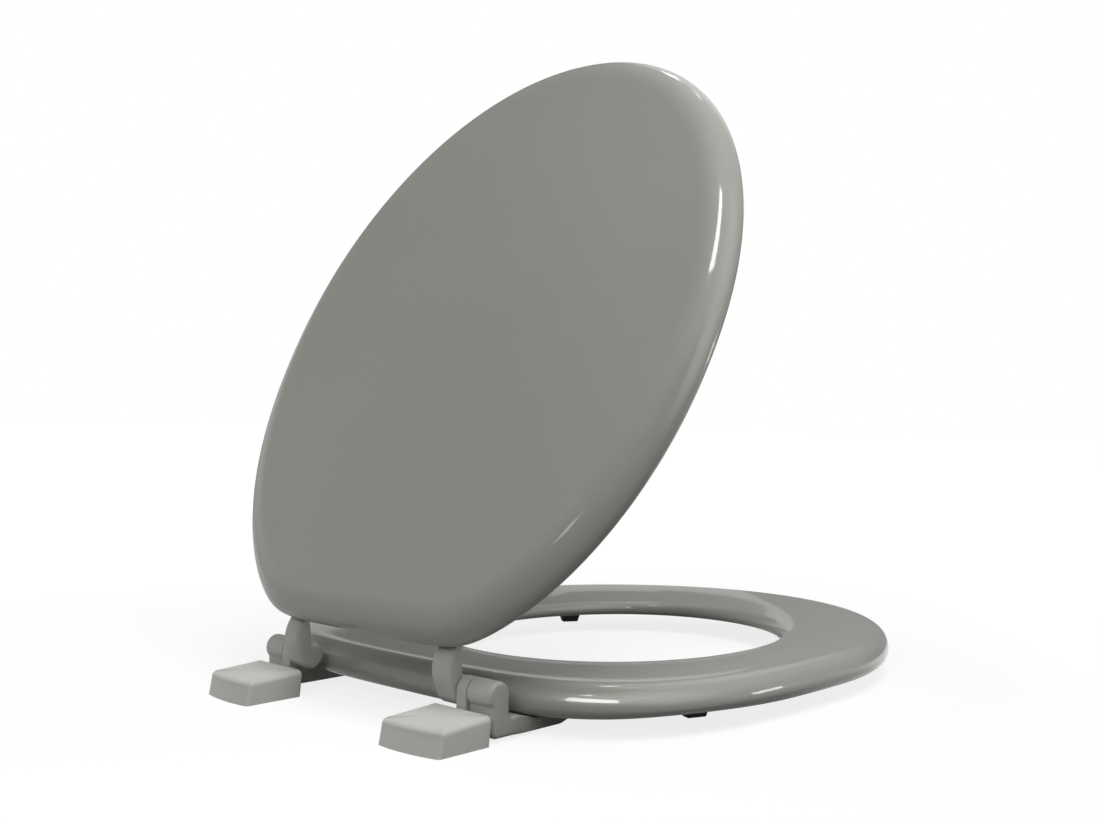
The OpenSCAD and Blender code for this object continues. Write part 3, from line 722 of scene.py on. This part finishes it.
# a surface's colour wanders a little lighter and darker by a wide soft noise
def wandering(s, place, finish, scale):
    base = np.array(fromPicture(*finish["colour"]))
    light = tuple(np.minimum(base * (1 + finish["lift"]), 1)) + (1,)
    dark = tuple(base * (1 - finish["lift"])) + (1,)
    cloud = s.noise(place, scale, 3.0).spread(0.2, 0.8, 0.0, 1.0)
    return s.node("ShaderNodeMix", {"data_type": "RGBA"}, {0: cloud, 6: dark, 7: light}, 2)


def newMaterial(name):
    material = bpy.data.materials.new(name)
    material.use_nodes = True
    tree = material.node_tree
    shader = tree.nodes["Principled BSDF"]
    s = Shade(tree)
    place = s.node("ShaderNodeTexCoord", {}, {}, "Object")
    return material, tree, shader, s, place


def plug(tree, shader, socket, value):
    if isinstance(value, Shade):
        tree.links.new(value.socket, shader.inputs[socket])
    else:
        shader.inputs[socket].default_value = value


# sprayed paint under a clear coat: slight clouds in colour and gloss, orange peel and long soft waves
def paintMaterial(f):
    material, tree, shader, s, place = newMaterial("sprayedPaint")
    peel = s.noise(place, f["peel"], 2.0)
    wave = s.noise(place, f["wave"], 1.0)
    height = peel * f["peelHigh"] + wave * f["waveHigh"]
    cloud = s.noise(place, 9.0, 4.0)
    plug(tree, shader, "Base Color", wandering(s, place, f, 6.0))
    plug(tree, shader, "Roughness", cloud.spread(0.2, 0.8, f["rough"] - 0.05, f["rough"] + 0.05))
    plug(tree, shader, "Coat Weight", f["coat"])
    plug(tree, shader, "Coat Roughness", f["coatRough"])
    plug(tree, shader, "Normal", s.node("ShaderNodeBump", {}, {"Strength": 1.0, "Distance": 1.0, "Height": height}))
    return material


# moulded plastic: an even fine grain, and patches a little more worn and so glossier
def plasticMaterial(name, f):
    material, tree, shader, s, place = newMaterial(name)
    grain = s.noise(place, f["grain"], 2.0)
    patch = s.noise(place, 30.0, 4.0)
    plug(tree, shader, "Base Color", wandering(s, place, f, 25.0))
    plug(tree, shader, "Roughness", patch.spread(0.2, 0.8, f["rough"] - 0.05, f["rough"] + 0.05))
    plug(tree, shader, "Normal", s.node("ShaderNodeBump", {}, {"Strength": 1.0, "Distance": 1.0,
                                                              "Height": grain * f["grainHigh"]}))
    return material


# zinc-plated steel: a metal with fine turning marks and dull patches
def steelMaterial(f):
    material, tree, shader, s, place = newMaterial("platedSteel")
    patch = s.noise(place, 220.0, 4.0)
    plug(tree, shader, "Base Color", wandering(s, place, f, 140.0))
    plug(tree, shader, "Metallic", 1.0)
    plug(tree, shader, "Roughness", patch.spread(0.2, 0.8, f["rough"] - 0.08, f["rough"] + 0.12))
    plug(tree, shader, "Normal", s.node("ShaderNodeBump", {}, {
        "Strength": 1.0, "Distance": 1.0, "Height": s.noise(place, f["grain"], 2.0) * f["grainHigh"]}))
    return material


def dress(pieces, material):
    for piece in pieces:
        piece.data.materials.clear()
        piece.data.materials.append(material)


paint = paintMaterial(paintFinish)
hingePlastic = plasticMaterial("hingePlastic", hingeFinish)
coverPlastic = plasticMaterial("coverPlastic", coverFinish)
bufferPlastic = plasticMaterial("bufferPlastic", bufferFinish)
steel = steelMaterial(steelFinish)
dress([lid, seat], paint)
dress(lidArms + seatArms + bases, hingePlastic)
dress(covers, coverPlastic)
dress(buffers, bufferPlastic)
steelNodes = ["hinge_pin_left", "hinge_pin_right", "lid_arm_screws", "seat_arm_screws",
              "seat_buffer_nails", "lid_buffer_nails"]
dress([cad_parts[n] for n in steelNodes], steel)
print("the finishes are on")

studio = {
    "floorHalf": 12.0, "floorColour": (0.22, 0.22, 0.22), "middle": (0.0, -0.2, 0.15),
    "glowNear": 0.82, "glowFar": 1.0, "near": 0.45, "far": 1.6, "skyLight": 0.03,
}
# each lamp, seen from the middle: azimuth from +Y towards -X and elevation in degrees, distance, width and
# height in m, and the share of white that it gives to a surface turned to it
lamps = {
    "keyBox": (80.0, 66.0, 2.0, 1.10, 1.10, 0.48),
    "rearBox": (15.0, 30.0, 2.0, 0.90, 0.80, 0.23),
    "rearHighBox": (45.0, 50.0, 2.0, 0.90, 0.80, 0.14),
    "leftBox": (135.0, 30.0, 2.0, 1.00, 0.80, 0.16),
    "rightBox": (277.0, 10.0, 2.2, 1.40, 0.50, 0.56),
}
# what only reflections see: a dim studio with soft clouds of light. Each cloud has its azimuth and elevation,
# the angles from its middle where it is full and where it ends, all in degrees, and its level, where 1 is white
surround = {
    "radius": 4.0, "centre": (0.0, -0.24, 0.0), "base": 0.17,
    "clouds": ((120, 55, 21, 70, 0.76), (150, -20, 8, 28, 0.45), (135, -20, 14, 45, 0.50), (195, 3, 16, 30, 0.12),
               (300, -20, 20, 65, 0.35), (0, 70, 14, 45, 0.14), (330, 55, 8, 28, 0.15), (88, 38, 12, 36, 1.30),
               (200, 42, 6, 22, 0.65)),
}
# pale cards in that studio: azimuths, elevations and a level
cards = {
    "farCard": ((221.0, 310.0), (9.0, 20.5), 0.63),
    "farMiddleCard": ((217.0, 221.0), (9.0, 19.0), 0.63),
    "farEndCard": ((212.5, 217.0), (9.0, 17.5), 0.63),
    "lidStreak": ((7.0, 27.0), (61.0, 76.0), 18.0),
    "lidGlint": ((346.0, 352.0), (25.5, 29.5), 5.0),
    "ringGlint": ((127.0, 137.0), (2.0, 8.5), 10.0),
    "farGlint": ((213.0, 221.0), (56.0, 62.0), 9.0),
    "topGlint": ((198.0, 204.0), (63.0, 69.0), 5.0),
}
# a card that the seat alone reflects
seatCard = ((12.0, 52.0), (29.0, 46.0), 16.0)


# the way to an azimuth and an elevation in degrees
def towards(az, el):
    az, el = math.radians(az), math.radians(el)
    return Vector((-math.sin(az) * math.cos(el), math.cos(az) * math.cos(el), math.sin(el)))


def makeFloor(d):
    h = d["floorHalf"]
    mesh = bpy.data.meshes.new("floor")
    mesh.from_pydata([(-h, -h, 0), (h, -h, 0), (h, h, 0), (-h, h, 0)], [], [(0, 1, 2, 3)])
    floor = bpy.data.objects.new("floor", mesh)
    bpy.context.scene.collection.objects.link(floor)
    material, tree, shader, s, place = newMaterial("paleFloor")
    seen = s.node("ShaderNodeLightPath", {}, {}, "Is Camera Ray")
    gloss = s.node("ShaderNodeLightPath", {}, {}, "Is Glossy Ray")
    through = s.node("ShaderNodeLightPath", {}, {}, "Is Transmission Ray")
    plug(tree, shader, "Base Color", (*d["floorColour"], 1))
    plug(tree, shader, "Roughness", 0.9)
    plug(tree, shader, "Specular IOR Level", 0.0)
    plug(tree, shader, "Emission Color", (1, 1, 1, 1))
    away = s.node("ShaderNodeVectorMath", {"operation": "LENGTH"}, {0: place}, 1)
    glow = away.spread(d["near"], d["far"], d["glowNear"], d["glowFar"])
    plug(tree, shader, "Emission Strength", seen * glow + (gloss + through) * cloudGlow(s, place))
    dress([floor], material)


def makeSky(d):
    world = bpy.data.worlds.new("studioSky")
    bpy.context.scene.world = world
    world.use_nodes = True
    tree = world.node_tree
    s = Shade(tree)
    seen = s.node("ShaderNodeLightPath", {}, {}, "Is Camera Ray")
    gloss = s.node("ShaderNodeLightPath", {}, {}, "Is Glossy Ray")
    through = s.node("ShaderNodeLightPath", {}, {}, "Is Transmission Ray")
    shown = s.maths("MINIMUM", seen + gloss + through, 1.0)
    sky = tree.nodes["Background"]
    plug(tree, sky, "Color", (1, 1, 1, 1))
    plug(tree, sky, "Strength", d["skyLight"] + shown * (1 - d["skyLight"]))


# the patch of a sphere between two azimuths and two elevations, glowing, and seen by reflections alone
def makeCard(name, d, azimuths, elevations, glow, across=24, up=12, size=1.0):
    az = np.radians(np.linspace(*azimuths, across + 1))[None, :]
    el = np.radians(np.linspace(*elevations, up + 1))[:, None]
    ball = np.stack([-np.sin(az) * np.cos(el), np.cos(az) * np.cos(el), np.sin(el) + 0 * az], -1)
    points = (np.array(d["centre"]) + d["radius"] * size * ball).reshape(-1, 3)
    i, j = np.meshgrid(np.arange(up), np.arange(across), indexing="ij")
    first = (i * (across + 1) + j).ravel()
    faces = np.stack([first, first + 1, first + across + 2, first + across + 1], -1)
    mesh = bpy.data.meshes.new(name)
    mesh.from_pydata(points.tolist(), [], faces.tolist())
    card = bpy.data.objects.new(name, mesh)
    bpy.context.scene.collection.objects.link(card)
    material, tree, shader, s, place = newMaterial(name)
    plug(tree, shader, "Base Color", (0, 0, 0, 1))
    plug(tree, shader, "Specular IOR Level", 0.0)
    plug(tree, shader, "Emission Color", (1, 1, 1, 1))
    plug(tree, shader, "Emission Strength", glow(s, place) if callable(glow) else glow)
    material.cycles.emission_sampling = "NONE"
    dress([card], material)
    for ray in ("camera", "diffuse", "transmission", "volume_scatter", "shadow"):
        setattr(card, "visible_" + ray, False)
    return card


# the light of the clouds at a place: for each, a smooth step over how near its way from the middle lies to it
def cloudGlow(s, place):
    away = s.node("ShaderNodeVectorMath", {"operation": "SUBTRACT"}, {0: place, 1: studio["middle"]})
    way = s.node("ShaderNodeVectorMath", {"operation": "NORMALIZE"}, {0: away})
    glow = surround["base"]
    for az, el, inner, outer, level in surround["clouds"]:
        near = s.node("ShaderNodeVectorMath", {"operation": "DOT_PRODUCT"}, {0: way, 1: tuple(towards(az, el))}, 1)
        glow = glow + s.node("ShaderNodeMapRange", {"interpolation_type": "SMOOTHSTEP"}, {
            0: near, 1: math.cos(math.radians(outer)), 2: math.cos(math.radians(inner)), 3: 0.0, 4: level})
    return glow


def makeLamp(name, az, el, away, width, height, share):
    data = bpy.data.lights.new(name, "AREA")
    data.shape = "RECTANGLE"
    data.size, data.size_y, data.energy = width, height, share * (math.pi * away) ** 2
    lamp = bpy.data.objects.new(name, data)
    lamp.location = Vector(studio["middle"]) + away * towards(az, el)
    lamp.rotation_euler = (-towards(az, el)).to_track_quat("-Z", "Y").to_euler()
    bpy.context.scene.collection.objects.link(lamp)
    lamp.visible_camera = False
    lamp.visible_glossy = False
    return lamp


makeFloor(studio)
makeSky(studio)
makeCard("surround", surround, (0, 360), (0, 90), cloudGlow, 72, 24)
for name, (azimuths, elevations, level) in cards.items():
    makeCard(name, surround, azimuths, elevations, level, size=0.97)
seatOnly = bpy.data.collections.new("seatOnly")
seatOnly.objects.link(seat)
makeCard("seatCard", surround, *seatCard, size=0.97).light_linking.receiver_collection = seatOnly
for name, numbers in lamps.items():
    makeLamp(name, *numbers)
print("the floor, sky, lamps and cards stand")
